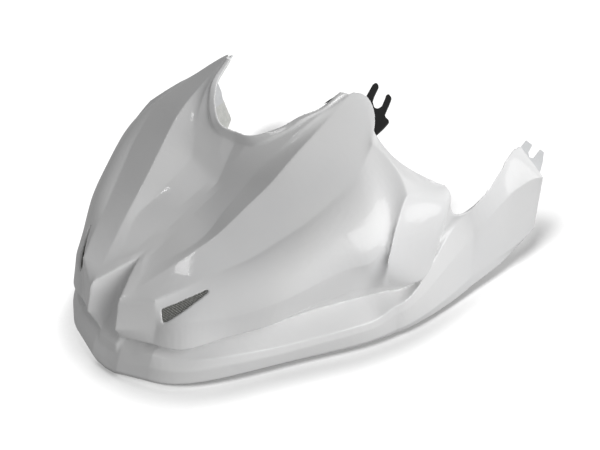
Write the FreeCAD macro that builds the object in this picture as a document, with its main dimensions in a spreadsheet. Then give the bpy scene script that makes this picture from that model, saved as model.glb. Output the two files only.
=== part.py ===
import FreeCAD, Part
import os

V = FreeCAD.Vector

# A moulded cover for the fuel tank of a motorbike.
# X is across the bike, with the rider's left side at +X. Y runs from the nose to the rear. Z is up.
# The origin is under the middle of the cover, on the plane that its lowest edge rests on.

doc = FreeCAD.newDocument("fuel_tank_cover")
sheet = doc.addObject("Spreadsheet::Sheet", "Sizes")

SIZES = (
    ("cover_length", 392.0),
    ("cover_width", 460.0),
    ("cover_height", 206.0),
    ("wall_thickness", 3.0),
    ("notch_width", 156.0),
    ("notch_depth", 72.5),
    ("rim_thickness", 2.5),
    ("rim_root", 0.8),
    ("slot_length", 42.0),
    ("slot_front_height", 12.5),
    ("slot_rear_height", 2.4),
    ("slot_reach", 12.0),
    ("mesh_thickness", 1.2),
    ("mesh_margin", 4.0),
    ("clip_thickness", 2.0),
    ("glue_gap", 0.2),
)

for row, (name, value) in enumerate(SIZES, start=1):
    sheet.set("A%d" % row, name)
    sheet.set("B%d" % row, str(value))
    sheet.setAlias("B%d" % row, name)
doc.recompute()


def size(name):
    return float(sheet.get(name))


# The shape of the left half is given at stations, which start on the centre plane in the nose
# groove and fan out round the nose and back along the flank to the rear rim.
# Each station runs down through the same moulded lines, from the top centre to the bottom edge.
# Between two lines it may bulge through further points.
# These are the sizes that the stations are drawn for.
DRAWN_LENGTH = 392.0
DRAWN_WIDTH = 460.0
DRAWN_HEIGHT = 206.0
DRAWN_MIDDLE = 188.0
DRAWN_BOTTOM = 42.0

GROOVE_STATIONS = (
    # on the centre plane, down the floor of the groove and over the lip
    ([(0, 42, 131)], [(0, 40, 128)], [(0, 36, 122)], [(0, 30, 113)], [(0, 24, 104)],
     [(0, 13, 88)], [(0, 3, 75)], [(0, 1, 71)], [(0, -1, 62)], [(0, -5, 54)], [(0, -8, 47)],
     [(0, -6, 42)]),
    # where the floor of the groove meets its side
    ([(0, 43.5, 133)], [(1.5, 40, 128)], [(3, 36, 122)], [(5, 29, 113)], [(6.5, 23, 104)],
     [(9, 12, 88)], [(11, 3, 76)], [(11.5, 1, 72)], [(12, -1, 63)], [(12, -5, 55)], [(12, -7.5, 47.5)],
     [(12, -5.5, 42.5)]),
    # the inner corner of the block beside the groove
    ([(0, 46, 135.5)], [(4, 37, 133)], [(9, 26, 129)], [(18, 8, 122)], [(18.5, 5, 118)],
     [(19, -2, 95)], [(18, 2, 84)], [(17, 9, 77)], [(17, 1, 68)], [(17, -4, 58)], [(17, -7, 50)],
     [(17, -5, 45)]),
    # the outer corner of the block
    ([(0, 53, 138)], [(7, 45, 136)], [(16, 34, 132)], [(24, 22, 127)], [(49, 21, 127)],
     [(51, 17, 101)], [(50, 12, 87)], [(47, 21, 80)], [(50, 10, 76)], [(50.5, 5, 66)], [(51, 2, 54)],
     [(50, 5, 48)]),
)

FLANK_STATIONS = (
    ([(0, 64, 142)], [(9, 56, 139)], [(22, 48, 137)], [(33, 42, 136)], [(60, 38, 133)],
     [(72, 27, 112)], [(75, 21.5, 88)], [(65, 34, 79)], [(72, 21, 75)], [(74, 16, 67)], [(74, 14.5, 54)],
     [(72, 18, 49)]),
    ([(0, 84, 149)], [(9, 80, 148)], [(37, 74, 148)], [(46, 72, 150)], [(76, 66, 142)],
     [(92, 57, 130), (99, 55, 114)], [(96, 52, 92)], [(85, 63, 82)], [(98, 45, 77)],
     [(102, 46, 69)], [(102, 48, 55)], [(99, 51, 50)]),
    ([(0, 102, 155)], [(9, 101, 155)], [(39, 98, 156)], [(54, 93, 160)], [(92, 92, 151)],
     [(117, 88, 142), (126, 86, 124)], [(119, 83, 98)], [(106, 95, 85)], [(122, 82, 75)],
     [(125, 83, 68)], [(124, 85, 55)], [(121, 88, 50)]),
    ([(0, 124, 162)], [(9, 123, 162)], [(38, 121, 168)], [(62, 120, 177)], [(106, 119, 164)],
     [(135, 117, 153), (143, 117, 134)], [(135, 115, 106)], [(124, 126, 89)], [(143, 115, 76)],
     [(146, 116, 70)], [(145, 118, 56)], [(142, 121, 50)]),
    ([(0, 146, 170)], [(9, 146, 172)], [(38, 148, 181)], [(70, 147, 195)], [(119, 147, 179)],
     [(151, 146, 163), (160, 147, 142)], [(154, 150, 111)], [(145, 160, 92)], [(165, 149, 79)],
     [(167, 150, 72)], [(166, 152, 57)], [(163, 155, 50)]),
    ([(0, 159, 186)], [(12, 160, 190)], [(46, 162, 197)], [(75, 173, 213)], [(128, 180, 197)],
     [(163, 170, 168), (169, 162, 146)], [(162, 165, 111)], [(154, 174, 93)], [(173, 165, 80)],
     [(175, 167, 73)], [(174, 169, 57)], [(171, 172, 50)]),
    ([(0, 178, 207)], [(16, 178, 211)], [(62, 190, 222)], [(78, 208, 230)], [(127, 200, 207.3)],
     [(151, 197, 190.5), (171, 184, 167)], [(174, 172, 146), (168, 173, 110)], [(160, 182, 94)],
     [(177, 175, 84)], [(179, 177, 76.5)], [(178, 179, 57.5)], [(175, 181, 50)]),
    # the crease between the upper flank and the facet that faces the rider
    ([(0, 200, 222)], [(18, 200, 224)], [(70, 222, 237.5)], [(79, 240, 245.5)],
     [(92, 245.5, 241), (107, 236.5, 230), (122, 219, 218.5)],
     [(149, 219, 202), (168, 208, 187)],
     [(174, 182, 166), (177, 170, 146), (173, 181, 109)], [(165, 190, 95)], [(181, 184, 88)],
     [(183, 186, 80)], [(181, 188, 58)], [(178, 190, 50)]),
)

FACET_STATIONS = (
    ([(0, 207, 227)], [(19, 208, 229)], [(72, 232, 241.5)], [(79.3, 243, 246.4)],
     [(92.5, 248.5, 241.7), (107, 239, 230.7), (119, 224, 220.5)],
     [(148, 224, 201), (171, 223, 185)],
     [(180, 205, 163), (184, 198, 135), (187, 210, 104)], [(179, 214, 98)], [(188, 208, 99)],
     [(190, 210, 86)], [(190, 213, 60)], [(187, 215, 50)]),
    ([(0, 214, 231)], [(19.5, 215, 233)], [(73, 239, 244)], [(79.7, 245.5, 247)],
     [(92.5, 251.2, 242.2), (106.5, 242, 231.8), (117, 228, 222.5)],
     [(146, 230, 200), (174, 240, 183)],
     [(187, 228, 165), (190, 222, 140), (190, 228, 116)], [(182, 236, 116)], [(188, 240, 120)],
     [(194, 245, 100)], [(197, 250, 64)], [(195, 252, 51)]),
    # the rear rim, from the tip of the horn over the body and down the root of the wing
    ([(0, 222, 235)], [(20, 222, 237)], [(74, 245, 246)], [(80, 247, 247.5)],
     [(92, 254, 243), (106, 245.5, 233.5), (115, 232, 224)],
     [(142, 236, 200), (164, 243, 191), (178, 256, 181)],
     [(185, 255, 176), (188, 252, 167)], [(189.5, 257, 156), (191, 265, 150)],
     [(193, 273, 148.3), (195.5, 281, 150.5)],
     [(200, 286, 120)], [(203, 290, 72)], [(202, 292, 56)]),
)

WING_STATIONS = (
    ([(200, 300, 166)], [(207, 303, 138)], [(207, 310, 74)], [(206, 312, 59)]),
    ([(200, 328, 181)], [(214, 328, 154)], [(214, 340, 79)], [(212, 342, 65)]),
    ([(200, 350, 189.5)], [(223, 346, 164)], [(220, 360, 85)], [(215, 358, 72)]),
    ([(202, 362, 186)], [(230, 359, 164)], [(223, 384, 90)], [(217, 369, 78)]),
)

# The wing goes on from the last lines of the body's rear rim.
WING_SPANS = len(FACET_STATIONS[-1]) - len(WING_STATIONS[0])
STRAIGHT = [0.0, 1.0]
# The way that the groove's floor falls where it starts on the centre plane.
GROOVE_FALL = V(0, -0.5, -0.8)


def place(point):
    across = size("cover_width") / DRAWN_WIDTH
    along = size("cover_length") / DRAWN_LENGTH
    up = size("cover_height") / DRAWN_HEIGHT
    return V(point[0] * across, (point[1] - DRAWN_MIDDLE) * along, (point[2] - DRAWN_BOTTOM) * up)


def outer_points(station):
    return [[place(point) for point in span] for span in station]


def flat(station):
    return [point for span in station for point in span]


def row_tangents(stations, index):
    """The way that each moulded line runs at one station."""
    before = stations[max(index - 1, 0)]
    after = stations[min(index + 1, len(stations) - 1)]
    tangents = []
    for here, first, second in zip(stations[index], before, after):
        along = V(1, 0, 0) if index == 0 else (second[-1] - first[-1]).normalize()
        tangents.append([along] * len(here))
    for span in range(1, len(tangents)):
        count = len(tangents[span])
        start, end = tangents[span - 1][-1], tangents[span][-1]
        mixed = [start + (end - start) * ((step + 1) / count) for step in range(count)]
        tangents[span] = [V(way).normalize() for way in mixed]
    return [way for span in tangents for way in span]


def inward(stations, index, depth):
    """The points of one station moved square to the skin, into the cover."""
    points = flat(stations[index])
    ways = row_tangents(stations, index)
    moved = []
    for number, point in enumerate(points):
        if number == 0:
            down = V(1, 0, 0) if index else GROOVE_FALL
        elif number == len(points) - 1:
            down = points[number] - points[number - 1]
        else:
            ahead = (points[number + 1] - point).normalize()
            behind = (point - points[number - 1]).normalize()
            down = ahead + behind
        out = down.cross(ways[number]).normalize()
        moved.append(point - out * depth)
    spans = []
    for span in stations[index]:
        spans.append(moved[:len(span)])
        moved = moved[len(span):]
    return spans


def curve_through(points, parameters):
    curve = Part.BSplineCurve()
    curve.interpolate(Points=points, Parameters=parameters)
    return curve


def fractions(rows):
    """How far along each point of a row lies, from 0 to 1, as an average over all the rows."""
    steps = []
    for number in range(len(rows[0]) - 1):
        steps.append(sum(row[number].distanceToPoint(row[number + 1]) for row in rows))
    reached = [sum(steps[:number]) / sum(steps) for number in range(len(steps))]
    return reached + [1.0]


def span_points(station, span):
    """The points of one span, from the last point of the span before it."""
    return [station[span - 1][-1]] + station[span]


def evened(stations):
    """Gives every station the same number of points in each span, set on the same curve."""
    counts = [max(len(station[span]) for station in stations) for span in range(len(stations[0]))]
    result = []
    for station in stations:
        spans = [station[0]]
        for span in range(1, len(station)):
            points = span_points(station, span)
            if len(points) <= counts[span]:
                curve = curve_through(points, fractions([points]))
                points = [curve.value(number / counts[span]) for number in range(counts[span] + 1)]
            spans.append(points[1:])
        result.append(spans)
    return result


def surface_through(rows, across, along):
    """A smooth face through rows of points. Faces that share a line of points share its whole edge."""
    curves = [curve_through(row, across) for row in rows]
    poles = zip(*[curve.getPoles() for curve in curves])
    columns = [curve_through(list(line), along) for line in poles]
    surface = Part.BSplineSurface()
    surface.buildFromPolesMultsKnots(
        [column.getPoles() for column in columns],
        curves[0].getMultiplicities(), columns[0].getMultiplicities(),
        curves[0].getKnots(), columns[0].getKnots(),
        False, False, curves[0].Degree, columns[0].Degree)
    return surface.toShape()


def strips(stations, across, along):
    faces = []
    for span in range(1, len(stations[0])):
        rows = [span_points(station, span) for station in stations]
        faces.append(surface_through(rows, across[span], along))
    return faces


def edge_face(outers, inners, span, along):
    """The edge of the wall between its two skins, along one line of the stations."""
    rows = [[station[span][-1] for station in stations] for stations in (outers, inners)]
    return surface_through(rows, along, STRAIGHT)


def smooth_wall(outers, inners, across):
    """Both skins through some stations, and the bottom edge between them."""
    along = fractions(list(zip(*[flat(station) for station in outers])))
    bottom = edge_face(outers, inners, -1, along)
    return strips(outers, across, along) + strips(inners, across, along) + [bottom]


def folded_wall(outers, inners, across):
    """Both skins, with a fold at each station, and the bottom edge between them."""
    faces = []
    for number in range(len(outers) - 1):
        pair = slice(number, number + 2)
        faces += smooth_wall(outers[pair], inners[pair], across)
    return faces


def skins(stations, start_depth, end_depth):
    count = range(len(stations))
    outers = [inward(stations, index, start_depth) for index in count]
    inners = [inward(stations, index, end_depth) for index in count]
    return outers, inners


def wall_faces(start_depth, end_depth):
    """The left half of the wall between two depths under the outside, open on the centre plane."""
    drawn = GROOVE_STATIONS + FLANK_STATIONS + FACET_STATIONS
    body = evened([outer_points(station) for station in drawn])
    outers, inners = skins(body, start_depth, end_depth)
    corner = len(GROOVE_STATIONS)
    crease = corner + len(FLANK_STATIONS)
    across = [None]
    for span in range(1, len(body[0])):
        across.append(fractions([span_points(station, span) for station in body[corner:]]))
    faces = folded_wall(outers[:corner], inners[:corner], across)
    faces += smooth_wall(outers[corner - 1:crease], inners[corner - 1:crease], across)
    faces += smooth_wall(outers[crease - 1:], inners[crease - 1:], across)
    faces += strips([outers[-1][:WING_SPANS + 1], inners[-1][:WING_SPANS + 1]], across, STRAIGHT)

    wing = [body[-2][WING_SPANS:], body[-1][WING_SPANS:]]
    wing += [outer_points(station) for station in WING_STATIONS]
    wing_outers, wing_inners = skins(wing, start_depth, end_depth)
    wing_outers = [[span[-1:] for span in outers[-1][WING_SPANS:]]] + wing_outers[2:]
    wing_inners = [[span[-1:] for span in inners[-1][WING_SPANS:]]] + wing_inners[2:]
    wing_across = [STRAIGHT] * len(wing_outers[0])
    along = fractions(list(zip(*[flat(station) for station in wing_outers])))
    faces += smooth_wall(wing_outers, wing_inners, wing_across)
    faces.append(edge_face(wing_outers, wing_inners, 0, along))
    faces += strips([wing_outers[-1], wing_inners[-1]], wing_across, STRAIGHT)
    return faces


def solid_of(faces, tolerance=0.01):
    compound = Part.makeCompound(faces)
    compound.sewShape(tolerance)
    solid = Part.makeSolid(compound.Shells[0])
    if solid.Volume < 0:
        solid.reverse()
    return solid


def both_sides(faces):
    mirrored = [face.mirror(V(0, 0, 0), V(1, 0, 0)) for face in faces]
    return faces + mirrored


def skin(start_depth, end_depth):
    return solid_of(both_sides(wall_faces(start_depth, end_depth)))


def solid_feature(name, shape):
    feature = doc.addObject("Part::Feature", name)
    feature.Shape = shape
    return feature


def extrusion(name, wire, direction, ahead, behind):
    """A prism on a closed wire. Its two reaches are bound to the sheet."""
    outline = solid_feature(name + "_outline", wire)
    prism = doc.addObject("Part::Extrusion", name)
    prism.Base = outline
    prism.DirMode = "Custom"
    prism.Dir = direction
    prism.setExpression("LengthFwd", ahead)
    prism.setExpression("LengthRev", behind)
    prism.Solid = True
    return prism


def boolean(kind, name, base, tool):
    feature = doc.addObject("Part::" + kind, name)
    feature.Base = base
    feature.Tool = tool
    return feature


def fuse(name, shapes):
    feature = doc.addObject("Part::MultiFuse", name)
    feature.Shapes = shapes
    return feature


# The filler notch is a U between the horns. Its edge runs from the middle to the left horn's tip.
# A raised rim stands along it, upright in the middle and flat at the horns.
# Each row has the edge, the top of the rim and how far the rim leans from upright to flat.
NOTCH_RIM = (
    ((0, 172, 201), (0, 171, 211), 0.0),
    ((18, 170.5, 204), (17, 171, 212), 0.0),
    ((32, 174, 211), (29, 177, 216), 0.3),
    ((46, 184, 219), (41, 187, 222), 0.6),
    ((55, 194, 227), (50, 197, 229), 0.8),
    ((62.5, 205, 234), (58, 208, 234), 1.0),
    ((70, 223, 240.5), (66, 225, 240), 1.0),
    ((78, 243, 246.5), (74, 243, 245.5), 1.0),
)
# These are the notch's half width, its open end and its depth that the rows are drawn for.
DRAWN_NOTCH_HALF = 78.0
DRAWN_NOTCH_REAR = 243.0
DRAWN_NOTCH_DEPTH = 72.5
MOUTH_LENGTH = 60.0
# Both of these reach a little past what they cut or join.
UP_THROUGH = "Sizes.cover_height * 1.2"
RIM_REACH = 1.2


def notch_place(point):
    """The notch keeps its own width and depth, measured from the horns."""
    rear = place((0, DRAWN_NOTCH_REAR, 0)).y
    across = point[0] * size("notch_width") / 2 / DRAWN_NOTCH_HALF
    ahead = (DRAWN_NOTCH_REAR - point[1]) * size("notch_depth") / DRAWN_NOTCH_DEPTH
    return V(across, rear - ahead, place(point).z)


def mirrored(point):
    return V(-point.x, point.y, point.z)


def notch_cutter():
    left = [notch_place(edge) for edge, top, lean in NOTCH_RIM]
    left = [V(point.x, point.y, 0) for point in left]
    curve = Part.BSplineCurve()
    curve.interpolate([mirrored(point) for point in reversed(left[1:])] + left)
    mouth = left[-1] + V(0, MOUTH_LENGTH, 0)
    back = Part.makePolygon([left[-1], mouth, mirrored(mouth), mirrored(left[-1])])
    return extrusion("notch", Part.Wire([curve.toShape()] + back.Edges), V(0, 0, 1), UP_THROUGH, "0")


def notch_rim():
    """A loft through one section for each row, from the right horn to the left one."""
    thick = size("rim_thickness")
    deep = V(0, 0, -size("wall_thickness") * RIM_REACH)
    centre = notch_place((0, DRAWN_NOTCH_REAR, 0))
    sections = []
    for edge, top, lean in NOTCH_RIM:
        low, high = notch_place(edge), notch_place(top)
        root = low + V(low.x - centre.x, low.y - centre.y, 0).normalize() * size("rim_root")
        back = V(0, (1 - lean) * thick, -lean * thick)
        sections.append([root + deep, root, high, high + back, low + back + deep])
    right = [[mirrored(point) for point in section] for section in reversed(sections[1:])]
    wires = [Part.makePolygon(section + section[:1]) for section in right + sections]
    return solid_feature("notch_rim", Part.makeLoft(wires, True, False))


# The vent slot lies in the flank beside the nose block. It is wide in front and closes to the rear.
SLOT_FRONT = (55.0, 22.0, 119.5)
SLOT_REAR = (76.0, 56.0, 133.5)
SLOT_FACING = V(0.77, -0.58, 0.27)
SLOT_FALL = V(0.24, -0.22, -0.95)


def slot_wire(side, margin):
    top = place(SLOT_FRONT)
    along = (place(SLOT_REAR) - top).normalize()
    end = top + along * size("slot_length")
    corners = [top - along * margin - SLOT_FALL * margin,
               top - along * margin + SLOT_FALL * (size("slot_front_height") + margin),
               end + along * margin + SLOT_FALL * (size("slot_rear_height") + margin),
               end + along * margin - SLOT_FALL * margin]
    corners = [V(side * corner.x, corner.y, corner.z) for corner in corners]
    return Part.makePolygon(corners + corners[:1])


def slot_prism(name, side, margin):
    outward = V(side * SLOT_FACING.x, SLOT_FACING.y, SLOT_FACING.z)
    return extrusion(name, slot_wire(side, margin), outward, "Sizes.slot_reach", "Sizes.slot_reach")


def wall(name, start_depth, end_depth):
    return solid_feature(name, skin(start_depth, end_depth))


SIDES = (("left", 1), ("right", -1))


def cover_shell():
    body = boolean("Cut", "body_with_notch", wall("body_wall", 0.0, size("wall_thickness")), notch_cutter())
    for name, side in SIDES:
        body = boolean("Cut", "body_with_slot_" + name, body, slot_prism("slot_" + name, side, 0.0))
    return fuse("cover_shell", [body, notch_rim()])


def vent_mesh(name, side, layer):
    prism = slot_prism("mesh_outline_" + name, side, size("mesh_margin"))
    return boolean("Common", "vent_mesh_" + name, layer, prism)


# A clip is bonded under the rim, with a fork that stands up behind it.
# Its fork is drawn from the rim: along it first, then out from it.
# The wing's clip has a plate of its own that follows the wall, and the horn's fork is flat right through.
WING_FORK = ((-1.0, -1.0), (-1.0, 3.0), (0.5, 13.0), (8.5, 15.5), (9.0, 6.0), (12.5, 4.0), (16.5, 7.0),
             (18.2, 20.0), (22.8, 21.5), (27.0, 14.0), (30.0, 4.0), (30.0, -1.0))
HORN_FORK = ((-7.0, -14.0), (-9.0, 1.0), (-7.5, 15.5), (-1.0, 18.5), (3.7, 7.5), (10.0, 5.5), (17.0, 10.5),
             (20.6, 30.0), (26.6, 33.0), (34.6, 20.0), (44.0, 24.0), (39.5, 9.5), (33.0, 3.5), (30.5, -14.0))
RISE = V(0, 0.85, 0.53)
# Each rim has its two ends and the way from there under the wall.
# The plate has its plan, at the height where it starts on the wing.
WING_RIM = ((203, 362, 185.5), (229, 359, 165), V(-0.6, 0, -0.76))
HORN_RIM = ((95, 253, 241), (117, 231, 223), V(-0.53, 0.475, -0.92))
WING_PLATE = ((190, 346, 120), (190, 370, 120), (229, 370, 120), (222, 346, 120))


def fork(name, rim, outline, side):
    rim_start, rim_end, down = place(rim[0]), place(rim[1]), rim[2]
    along = (rim_end - rim_start).normalize()
    rise = V(RISE).normalize()
    depth = size("wall_thickness") + size("glue_gap") + size("clip_thickness") / 2
    start = rim_start + down * depth
    points = [start + along * s + rise * r for s, r in outline]
    points = [V(side * point.x, point.y, point.z) for point in points]
    across = along.cross(rise).normalize()
    across = V(side * across.x, across.y, across.z)
    half = "Sizes.clip_thickness / 2"
    return extrusion(name, Part.makePolygon(points + points[:1]), across, half, half)


def clip(name, side, rim, outline, plan):
    corners = [place(corner) for corner in plan]
    corners = [V(side * corner.x, corner.y, corner.z) for corner in corners]
    prism = extrusion(name + "_plan", Part.makePolygon(corners + corners[:1]), V(0, 0, 1), UP_THROUGH, "0")
    plate = boolean("Common", name + "_plate", clip_layer, prism)
    prongs = fork(name + "_fork", rim, outline, side)
    return fuse(name, [plate, prongs])


seat_depth = size("wall_thickness") + size("glue_gap")
mesh_layer = wall("mesh_layer", seat_depth, seat_depth + size("mesh_thickness"))
clip_layer = wall("clip_layer", seat_depth, seat_depth + size("clip_thickness"))
cover = cover_shell()
parts = [cover]
parts += [vent_mesh(name, side, mesh_layer) for name, side in SIDES]
for name, side in SIDES:
    parts.append(clip("wing_clip_" + name, side, WING_RIM, WING_FORK, WING_PLATE))
parts.append(fork("horn_clip_left", HORN_RIM, HORN_FORK, 1))

doc.recompute()

failed = [item.Name for item in doc.Objects if "Invalid" in item.State or "Error" in item.State]
if failed:
    raise RuntimeError("these objects failed: " + ", ".join(failed))

os.makedirs("parts", exist_ok=True)
for part in parts:
    part.Label = part.Name
    part.Placement = FreeCAD.Placement()
    shape = part.Shape
    if shape.isNull() or not shape.isValid():
        raise RuntimeError("the shape of %s is not sound" % part.Label)
    shape.exportStep("parts/%s.step" % part.Label)
    print(part.Label, "solids", len(shape.Solids), "volume", round(shape.Volume), shape.BoundBox)
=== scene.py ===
"""The looks of a white moulded fuel tank cover for a motorbike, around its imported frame."""

import math

import bpy
from mathutils import Matrix, Vector
from mathutils.bvhtree import BVHTree


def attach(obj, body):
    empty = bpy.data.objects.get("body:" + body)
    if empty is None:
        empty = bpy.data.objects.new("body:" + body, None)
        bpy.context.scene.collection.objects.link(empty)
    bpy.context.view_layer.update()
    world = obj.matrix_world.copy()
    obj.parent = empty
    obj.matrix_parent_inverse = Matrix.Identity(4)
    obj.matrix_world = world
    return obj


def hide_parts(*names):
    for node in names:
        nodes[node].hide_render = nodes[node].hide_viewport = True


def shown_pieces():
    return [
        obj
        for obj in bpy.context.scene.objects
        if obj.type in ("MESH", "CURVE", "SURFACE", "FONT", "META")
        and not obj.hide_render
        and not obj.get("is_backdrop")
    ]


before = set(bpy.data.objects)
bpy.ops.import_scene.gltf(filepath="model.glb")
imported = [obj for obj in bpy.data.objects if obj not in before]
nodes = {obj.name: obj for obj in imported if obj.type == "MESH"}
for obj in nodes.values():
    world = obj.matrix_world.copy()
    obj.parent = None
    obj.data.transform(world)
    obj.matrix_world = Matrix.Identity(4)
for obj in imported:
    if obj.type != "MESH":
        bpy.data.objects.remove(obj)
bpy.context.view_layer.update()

MM = 0.001

# The camera stands above the cover's front left corner and looks down on it.
CAMERA_PLACE = (0.4292, -0.4398, 0.4437)
CAMERA_AZIMUTH = 39.6
CAMERA_ELEVATION = 32.2
CAMERA_LENS = 42.0
SENSOR_WIDTH = 36.0

scene = bpy.context.scene
scene.view_settings.view_transform = "Standard"


def link(obj):
    scene.collection.objects.link(obj)
    return obj


def make_camera():
    data = bpy.data.cameras.new("camera")
    data.lens = CAMERA_LENS
    data.sensor_width = SENSOR_WIDTH
    camera = link(bpy.data.objects.new("camera", data))
    camera.location = CAMERA_PLACE
    tilt = math.radians(90.0 - CAMERA_ELEVATION)
    camera.rotation_euler = (tilt, 0.0, math.radians(CAMERA_AZIMUTH))
    scene.camera = camera


class Nodes:
    """Builds one material's node tree."""

    def __init__(self, name):
        self.material = bpy.data.materials.new(name)
        self.material.use_nodes = True
        self.tree = self.material.node_tree
        self.tree.nodes.clear()

    def add(self, kind, inputs=None, **settings):
        node = self.tree.nodes.new(kind)
        for key, value in settings.items():
            setattr(node, key, value)
        for key, value in (inputs or {}).items():
            self.feed(node.inputs[key], value)
        return node

    def feed(self, socket, value):
        if isinstance(value, bpy.types.NodeSocket):
            self.tree.links.new(value, socket)
        else:
            socket.default_value = value

    def place(self):
        return self.add("ShaderNodeTexCoord").outputs["Object"]

    def noise(self, scale, detail=3.0, roughness=0.5, where=None):
        inputs = {"Vector": where or self.place(), "Scale": scale, "Detail": detail, "Roughness": roughness}
        return self.add("ShaderNodeTexNoise", inputs).outputs["Fac"]

    def ramp(self, value, low, high, to_low=0.0, to_high=1.0):
        inputs = {"Value": value, "From Min": low, "From Max": high, "To Min": to_low, "To Max": to_high}
        return self.add("ShaderNodeMapRange", inputs).outputs["Result"]

    def math(self, operation, first, second=0.0):
        return self.add("ShaderNodeMath", {0: first, 1: second}, operation=operation).outputs[0]

    def vector(self, operation, first, second=(0.0, 0.0, 0.0)):
        return self.add("ShaderNodeVectorMath", {0: first, 1: second}, operation=operation)

    def mix(self, factor, first, second):
        node = self.add("ShaderNodeMix", data_type="RGBA")
        self.feed(node.inputs["Factor"], factor)
        self.feed(node.inputs["A"], first)
        self.feed(node.inputs["B"], second)
        colours = [socket for socket in node.outputs if socket.type == "RGBA"]
        return colours[0]

    def bump(self, height, distance, strength=1.0, normal=None):
        inputs = {"Height": height, "Distance": distance, "Strength": strength}
        if normal is not None:
            inputs["Normal"] = normal
        return self.add("ShaderNodeBump", inputs).outputs["Normal"]

    def surface(self, shader):
        output = self.add("ShaderNodeOutputMaterial")
        self.tree.links.new(shader, output.inputs["Surface"])
        return self.material


# The bumps of the finishes, as the depth of each in metres.
RIPPLE_DEPTH = 0.00022
PEEL_DEPTH = 0.000012
GLASS_MAT_DEPTH = 0.0006
GRAIN_DEPTH = 0.00003


def gelcoat():
    """Glossy white gelcoat outside. The moulding's raw side, with its glass mat, inside."""
    n = Nodes("gelcoat")
    place = n.place()
    normal = n.add("ShaderNodeTexCoord").outputs["Normal"]

    # The outside is where the surface turns away from the middle of the hollow.
    parts = n.add("ShaderNodeSeparateXYZ", {"Vector": place})
    along = n.add("ShaderNodeClamp", {"Value": parts.outputs["Y"], "Min": -0.12, "Max": 0.06}).outputs[0]
    middle = n.add("ShaderNodeCombineXYZ", {"X": 0.0, "Y": along, "Z": 0.01}).outputs[0]
    away = n.vector("NORMALIZE", n.vector("SUBTRACT", place, middle).outputs[0]).outputs[0]
    facing = n.vector("DOT_PRODUCT", away, normal).outputs["Value"]
    inside = n.ramp(facing, -0.12, -0.22)

    # The white is a little uneven, as a sprayed gelcoat is.
    clouds = n.noise(14.0, 4.0, 0.55, place)
    white = n.mix(n.ramp(clouds, 0.3, 0.7), (0.785, 0.787, 0.792, 1.0), (0.815, 0.815, 0.812, 1.0))
    dust = n.ramp(n.noise(2300.0, 1.0, 0.5, place), 0.74, 0.80)
    white = n.mix(n.math("MULTIPLY", dust, 0.25), white, (0.60, 0.60, 0.58, 1.0))

    fibres = n.noise(420.0, 3.0, 0.7, place)
    cells = n.add("ShaderNodeTexVoronoi", {"Vector": place, "Scale": 130.0}, feature="F1")
    strands = cells.outputs["Distance"]
    mat_look = n.math("MULTIPLY", fibres, n.ramp(strands, 0.0, 0.9, 0.5, 1.0))
    raw = n.mix(n.ramp(mat_look, 0.1, 0.6), (0.56, 0.57, 0.55, 1.0), (0.74, 0.74, 0.71, 1.0))

    ripple = n.noise(38.0, 2.0, 0.5, place)
    peel = n.noise(700.0, 2.0, 0.5, place)
    skin = n.bump(ripple, RIPPLE_DEPTH)
    skin = n.bump(peel, PEEL_DEPTH, normal=skin)
    mat = n.bump(mat_look, GLASS_MAT_DEPTH, 0.8)

    wear = n.noise(60.0, 5.0, 0.6, place)
    outer = n.add("ShaderNodeBsdfPrincipled", {
        "Base Color": white,
        "Roughness": n.ramp(wear, 0.3, 0.7, 0.34, 0.44),
        "Specular IOR Level": 0.5,
        "Coat Weight": 0.5,
        "Coat Roughness": 0.09,
        "Normal": skin,
    }).outputs["BSDF"]
    inner = n.add("ShaderNodeBsdfPrincipled", {
        "Base Color": raw,
        "Roughness": 0.72,
        "Normal": mat,
    }).outputs["BSDF"]
    both = n.add("ShaderNodeMixShader", {0: inside, 1: outer, 2: inner}).outputs[0]
    return n.surface(both)


def satin(name, colour, lighter, roughness):
    """Injection moulded plastic with a fine spark-eroded grain."""
    n = Nodes(name)
    place = n.place()
    grain = n.noise(2600.0, 3.0, 0.6, place)
    cast = n.noise(90.0, 3.0, 0.5, place)
    tint = n.mix(n.ramp(cast, 0.3, 0.7), colour, lighter)
    return n.surface(n.add("ShaderNodeBsdfPrincipled", {
        "Base Color": tint,
        "Roughness": n.ramp(grain, 0.3, 0.7, roughness - 0.06, roughness + 0.08),
        "Normal": n.bump(grain, GRAIN_DEPTH, 0.7),
    }).outputs["BSDF"])


def wire():
    """Dark anodised wire with a dull grey sheen."""
    n = Nodes("mesh_wire")
    place = n.place()
    tint = n.mix(n.noise(500.0, 3.0, 0.6, place), (0.10, 0.10, 0.09, 1.0), (0.17, 0.17, 0.15, 1.0))
    return n.surface(n.add("ShaderNodeBsdfPrincipled", {
        "Base Color": tint,
        "Metallic": 0.35,
        "Roughness": 0.5,
    }).outputs["BSDF"])


def dress(obj, material):
    obj.data.materials.clear()
    obj.data.materials.append(material)


def tube_curve(name, radius, resolution):
    """An empty curve whose splines become round tubes with closed ends."""
    curve = bpy.data.curves.new(name, "CURVE")
    curve.dimensions = "3D"
    curve.bevel_depth = radius
    curve.bevel_resolution = resolution
    curve.use_fill_caps = True
    return curve


# The left vent slot's front top corner, its rear end, the way it faces and the way its front edge falls.
SLOT_FRONT = Vector((0.055, -0.166, 0.0775))
SLOT_REAR = Vector((0.076, -0.132, 0.0915))
SLOT_FACING = Vector((0.77, -0.58, 0.27)).normalized()
SLOT_FALL = Vector((0.24, -0.22, -0.95)).normalized()
SLOT_LENGTH = 42.0 * MM
SLOT_HEIGHT = 13.0 * MM
WIRE_RADIUS = 0.32 * MM
WIRE_PITCH = 1.15 * MM
WEAVE_LIFT = 0.3 * MM
WIRE_STEP = 0.55 * MM
MESH_REACH = 15.0 * MM
MESH_MARGIN = 2.5 * MM


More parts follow.
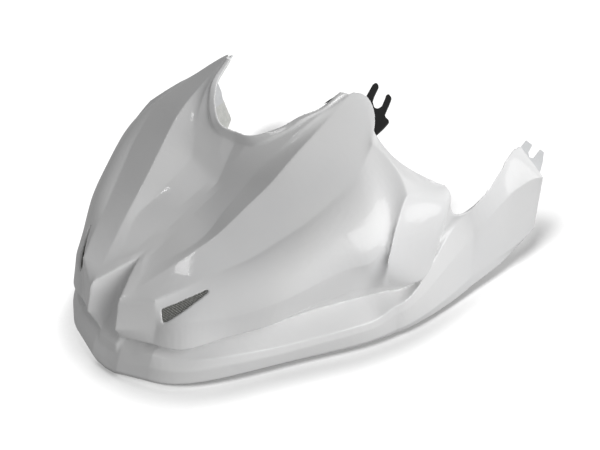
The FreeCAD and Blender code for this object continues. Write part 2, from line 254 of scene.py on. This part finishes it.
def wire_run(surface, start, way, length, lift_phase, side):
    """The points of one wire that goes over and under, laid on the sheet behind the slot."""
    outward = Vector((side * SLOT_FACING.x, SLOT_FACING.y, SLOT_FACING.z))
    points = []
    steps = int(length / WIRE_STEP)
    for step in range(steps + 1):
        at = start + way * (step * WIRE_STEP)
        hit = surface.ray_cast(at + outward * MESH_REACH, -outward, 2.0 * MESH_REACH)[0]
        if hit is None:
            if points:
                break
            continue
        wave = math.sin(math.pi * (step * WIRE_STEP / WIRE_PITCH) + lift_phase)
        points.append(hit - outward * (WIRE_RADIUS + WEAVE_LIFT) + outward * (WEAVE_LIFT * wave))
    return points


def woven_mesh(name, node, side, material):
    """A woven wire cloth that follows the sheet behind one vent slot."""
    sheet = nodes[node]
    surface = BVHTree.FromObject(sheet, bpy.context.evaluated_depsgraph_get())
    curve = tube_curve(name, WIRE_RADIUS, 1)

    corner = Vector((side * SLOT_FRONT.x, SLOT_FRONT.y, SLOT_FRONT.z))
    rear = Vector((side * SLOT_REAR.x, SLOT_REAR.y, SLOT_REAR.z))
    fall = Vector((side * SLOT_FALL.x, SLOT_FALL.y, SLOT_FALL.z))
    along = (rear - corner).normalized()
    length = SLOT_LENGTH + 2.0 * MESH_MARGIN
    height = SLOT_HEIGHT + 2.0 * MESH_MARGIN
    start = corner - along * MESH_MARGIN - fall * MESH_MARGIN

    runs = []
    for number in range(int(height / WIRE_PITCH) + 1):
        runs.append((start + fall * (number * WIRE_PITCH), along, length, number * math.pi))
    for number in range(int(length / WIRE_PITCH) + 1):
        runs.append((start + along * (number * WIRE_PITCH), fall, height, (number + 1) * math.pi))
    for first, way, reach, phase in runs:
        points = wire_run(surface, first, way, reach, phase, side)
        if len(points) < 3:
            continue
        spline = curve.splines.new("POLY")
        spline.points.add(len(points) - 1)
        for point, place in zip(spline.points, points):
            point.co = (place.x, place.y, place.z, 1.0)
    piece = link(bpy.data.objects.new(name, curve))
    curve.materials.append(material)
    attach(piece, "root")
    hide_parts(node)
    return piece


# The horn's clip is drawn on its own plane: along the rim first, then out from it, in millimetres.
FORK_START = Vector((92.8, 67.0, 195.1)) * MM
FORK_ALONG = Vector((22.0, -22.0, -18.0)).normalized()
FORK_RISE = Vector((0.0, 0.85, 0.53)).normalized()
FORK_OUTLINE = (
    (-7.0, -14.0), (-10.5, -2.0), (-12.6, 9.5), (-9.8, 14.8), (-5.0, 17.5), (-2.2, 17.5),
    (0.2, 9.0), (2.8, 5.2), (11.0, 6.2), (16.5, 10.5), (20.0, 17.0), (18.0, 22.5),
    (15.6, 26.5), (18.2, 30.5), (25.4, 33.6), (27.6, 30.0), (31.4, 19.4), (35.7, 20.5),
    (41.5, 24.0), (43.8, 23.6), (41.8, 13.6), (38.2, 2.2), (33.0, -2.0), (30.5, -14.0),
)
FORK_THICKNESS = 2.0 * MM
FORK_EDGE = 0.3 * MM
FORK_CORNER = 1.3 * MM
CORNER_STEPS = 4


def rounded(points, radius):
    """A closed outline whose corners are cut by small curves."""
    result = []
    for number, corner in enumerate(points):
        before = points[number - 1] - corner
        after = points[(number + 1) % len(points)] - corner
        start = corner + before.normalized() * min(radius, before.length / 2.0)
        end = corner + after.normalized() * min(radius, after.length / 2.0)
        for step in range(CORNER_STEPS + 1):
            t = step / CORNER_STEPS
            result.append(start * (1 - t) ** 2 + corner * (2 * t * (1 - t)) + end * t ** 2)
    return result


def fork_plate(name, node, material):
    """The moulded fork behind the near horn, with its rounded prongs and broken edges."""
    facing = FORK_ALONG.cross(FORK_RISE).normalized()
    beside = facing.cross(FORK_ALONG)
    outline = []
    for along, rise in FORK_OUTLINE:
        x = along + rise * FORK_RISE.dot(FORK_ALONG)
        outline.append(Vector((x, rise * FORK_RISE.dot(beside))) * MM)
    curve = bpy.data.curves.new(name, "CURVE")
    curve.dimensions = "2D"
    curve.fill_mode = "BOTH"
    curve.extrude = FORK_THICKNESS / 2.0 - FORK_EDGE
    curve.bevel_depth = FORK_EDGE
    curve.bevel_resolution = 2
    curve.offset = -FORK_EDGE
    spline = curve.splines.new("POLY")
    points = rounded(outline, FORK_CORNER)
    spline.points.add(len(points) - 1)
    for point, place in zip(spline.points, points):
        point.co = (place.x, place.y, 0.0, 1.0)
    spline.use_cyclic_u = True
    curve.materials.append(material)
    piece = link(bpy.data.objects.new(name, curve))
    turn = Matrix((FORK_ALONG, beside, facing)).transposed().to_4x4()
    piece.matrix_world = Matrix.Translation(FORK_START) @ turn
    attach(piece, "root")
    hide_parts(node)
    return piece


# The black bead on the near horn's rim, beside the filler notch, as points of the rim in millimetres.
TRIM_PATH = ((65.2, 35.4, 197.5), (67.9, 40.6, 199.2), (70.2, 46.0, 200.8), (72.5, 51.2, 202.4))
TRIM_SHARES = (0.15, 0.9, 1.0, 0.3)
TRIM_RADIUS = 1.3 * MM
TRIM_SIDE = Vector((-1.0, 0.0, 1.0)).normalized()
# The bead's centre stands this share of its radius off the rim, so the rubber is pressed on a little.
TRIM_SEAT = 0.75


def rim_bead(name, material):
    """The short rubber bead that lies on the rim, thin at both of its ends."""
    curve = tube_curve(name, TRIM_RADIUS, 2)
    spline = curve.splines.new("NURBS")
    spline.points.add(len(TRIM_PATH) - 1)
    for point, place, share in zip(spline.points, TRIM_PATH, TRIM_SHARES):
        centre = Vector(place) * MM + TRIM_SIDE * TRIM_RADIUS * share * TRIM_SEAT
        point.co = (*centre, 1.0)
        point.radius = share
    spline.order_u = 4
    spline.use_endpoint_u = True
    curve.materials.append(material)
    piece = link(bpy.data.objects.new(name, curve))
    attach(piece, "root")
    return piece


def soften(obj, voxel, rounds):
    """Rounds the moulding's edges a little, as a mould does."""
    remesh = obj.modifiers.new("mould_skin", "REMESH")
    remesh.mode = "VOXEL"
    remesh.voxel_size = voxel
    remesh.use_smooth_shade = True
    smooth = obj.modifiers.new("mould_edges", "SMOOTH")
    smooth.factor = 0.5
    smooth.iterations = rounds


FLOOR_GLOW = 0.26
FLOOR_SIZE = 8.0
FLOOR_DROP = 0.0004
# Painted shadow: the floor's colour and glow darken where the cover's edge is nearer than this.
PAINTED_SHADOW_REACH = 0.03


def floor_material():
    """Pale paper that shows white to the camera and darkens in the lamp's shadow, with a painted shadow
    that darkens it under the cover's edge.
    """
    n = Nodes("paper")
    seen = n.add("ShaderNodeLightPath").outputs["Is Camera Ray"]
    fibres = n.ramp(n.noise(30.0), 0.0, 1.0, 0.80, 0.82)
    near = n.add("ShaderNodeAmbientOcclusion", {"Distance": PAINTED_SHADOW_REACH}).outputs["AO"]
    # Painted shadow: ambient occlusion darkens the paper's colour and its glow near the cover's edge.
    painted_contact_shadow = n.ramp(near, 0.5, 1.0, 0.35, 1.0)
    paper = n.math("MULTIPLY", n.math("MULTIPLY", fibres, painted_contact_shadow), n.ramp(seen, 0.0, 1.0, 0.4, 1.0))
    matte = n.add("ShaderNodeBsdfDiffuse", {"Color": paper}).outputs[0]
    glow_level = n.math("MULTIPLY", n.math("MULTIPLY", seen, painted_contact_shadow), FLOOR_GLOW)
    glow = n.add("ShaderNodeEmission", {"Strength": glow_level}).outputs[0]
    return n.surface(n.add("ShaderNodeAddShader", {0: matte, 1: glow}).outputs[0])


def make_floor():
    mesh = bpy.data.meshes.new("floor")
    half = FLOOR_SIZE / 2.0
    ring = ((-half, -half), (half, -half), (half, half), (-half, half))
    corners = [(x, y, -FLOOR_DROP) for x, y in ring]
    mesh.from_pydata(corners, [], [(0, 1, 2, 3)])
    floor = link(bpy.data.objects.new("floor", mesh))
    floor.data.materials.append(floor_material())
    floor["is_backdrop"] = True
    return floor


WORLD_LIGHT = 0.26


def make_world():
    """White behind the object, and a soft grey light from all round."""
    world = bpy.data.worlds.new("studio")
    world.use_nodes = True
    tree = world.node_tree
    tree.nodes.clear()
    path = tree.nodes.new("ShaderNodeLightPath")
    seen = tree.nodes.new("ShaderNodeMath")
    seen.operation = "MAXIMUM"
    tree.links.new(path.outputs["Is Camera Ray"], seen.inputs[0])
    tree.links.new(path.outputs["Is Transmission Ray"], seen.inputs[1])
    level = tree.nodes.new("ShaderNodeMapRange")
    level.inputs["To Min"].default_value = WORLD_LIGHT
    level.inputs["To Max"].default_value = 1.0
    tree.links.new(seen.outputs[0], level.inputs["Value"])
    shade = tree.nodes.new("ShaderNodeBackground")
    shade.inputs["Color"].default_value = (1.0, 1.0, 1.0, 1.0)
    tree.links.new(level.outputs["Result"], shade.inputs["Strength"])
    output = tree.nodes.new("ShaderNodeOutputWorld")
    tree.links.new(shade.outputs[0], output.inputs["Surface"])
    scene.world = world


# The lamps point at the middle of the cover.
LAMP_TARGET = Vector((0.0, 0.0, 0.08))


def make_lamp(name, way, distance, width, power):
    """A square soft box that faces the object from one side."""
    data = bpy.data.lights.new(name, "AREA")
    data.shape = "SQUARE"
    data.size = width
    data.energy = power
    lamp = link(bpy.data.objects.new(name, data))
    away = Vector(way).normalized()
    lamp.location = LAMP_TARGET + away * distance
    lamp.rotation_mode = "QUATERNION"
    lamp.rotation_quaternion = (-away).to_track_quat("-Z", "Y")
    return lamp


def make_sun(name, way, strength, spread):
    """An even light whose spread, in degrees, softens its shadows."""
    data = bpy.data.lights.new(name, "SUN")
    data.energy = strength
    data.angle = math.radians(spread)
    lamp = link(bpy.data.objects.new(name, data))
    lamp.rotation_mode = "QUATERNION"
    lamp.rotation_quaternion = (-Vector(way)).to_track_quat("-Z", "Y")
    return lamp


def share_lamps(lamps, lamp_of_floor, floor):
    """Some lamps light the cover and one the floor, so that its shadow stays close and soft."""
    cover_pieces = bpy.data.collections.new("cover_pieces")
    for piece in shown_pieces():
        cover_pieces.objects.link(piece)
    stage_pieces = bpy.data.collections.new("stage_pieces")
    stage_pieces.objects.link(floor)
    for lamp in lamps:
        lamp.light_linking.receiver_collection = cover_pieces
    lamp_of_floor.light_linking.receiver_collection = stage_pieces


gelcoat_finish = gelcoat()
black = satin("black_clip", (0.012, 0.012, 0.012, 1.0), (0.02, 0.02, 0.02, 1.0), 0.45)
pale = satin("pale_clip", (0.66, 0.67, 0.68, 1.0), (0.72, 0.73, 0.74, 1.0), 0.5)

dress(nodes["cover_shell"], gelcoat_finish)
dress(nodes["horn_clip_left"], black)
fork_plate("horn_fork", "horn_clip_left", black)
rim_bead("horn_bead", black)
dress(nodes["wing_clip_left"], pale)
dress(nodes["wing_clip_right"], pale)

wire_finish = wire()
dress(nodes["vent_mesh_left"], wire_finish)
dress(nodes["vent_mesh_right"], wire_finish)
woven_mesh("woven_mesh_left", "vent_mesh_left", 1.0, wire_finish)
woven_mesh("woven_mesh_right", "vent_mesh_right", -1.0, wire_finish)

SHELL_VOXEL = 1.0 * MM
SHELL_ROUNDS = 4
soften(nodes["cover_shell"], SHELL_VOXEL, SHELL_ROUNDS)

make_camera()
paper_floor = make_floor()
make_world()
object_lamps = [
    make_lamp("side", (0.89, 0.05, 0.44), 2.2, 1.7, 34.0),
    make_lamp("rear", (0.5, 0.75, 0.4), 2.2, 1.6, 7.5),
    make_lamp("fill", (-0.45, 0.85, 0.25), 2.2, 1.6, 14.0),
    make_lamp("spark", (-0.45, -0.25, 0.85), 2.0, 0.2, 1.2),
]
floor_lamp = make_sun("floor_sun", (0.064, -0.691, 0.720), 3.6, 14.0)
share_lamps(object_lamps, floor_lamp, paper_floor)
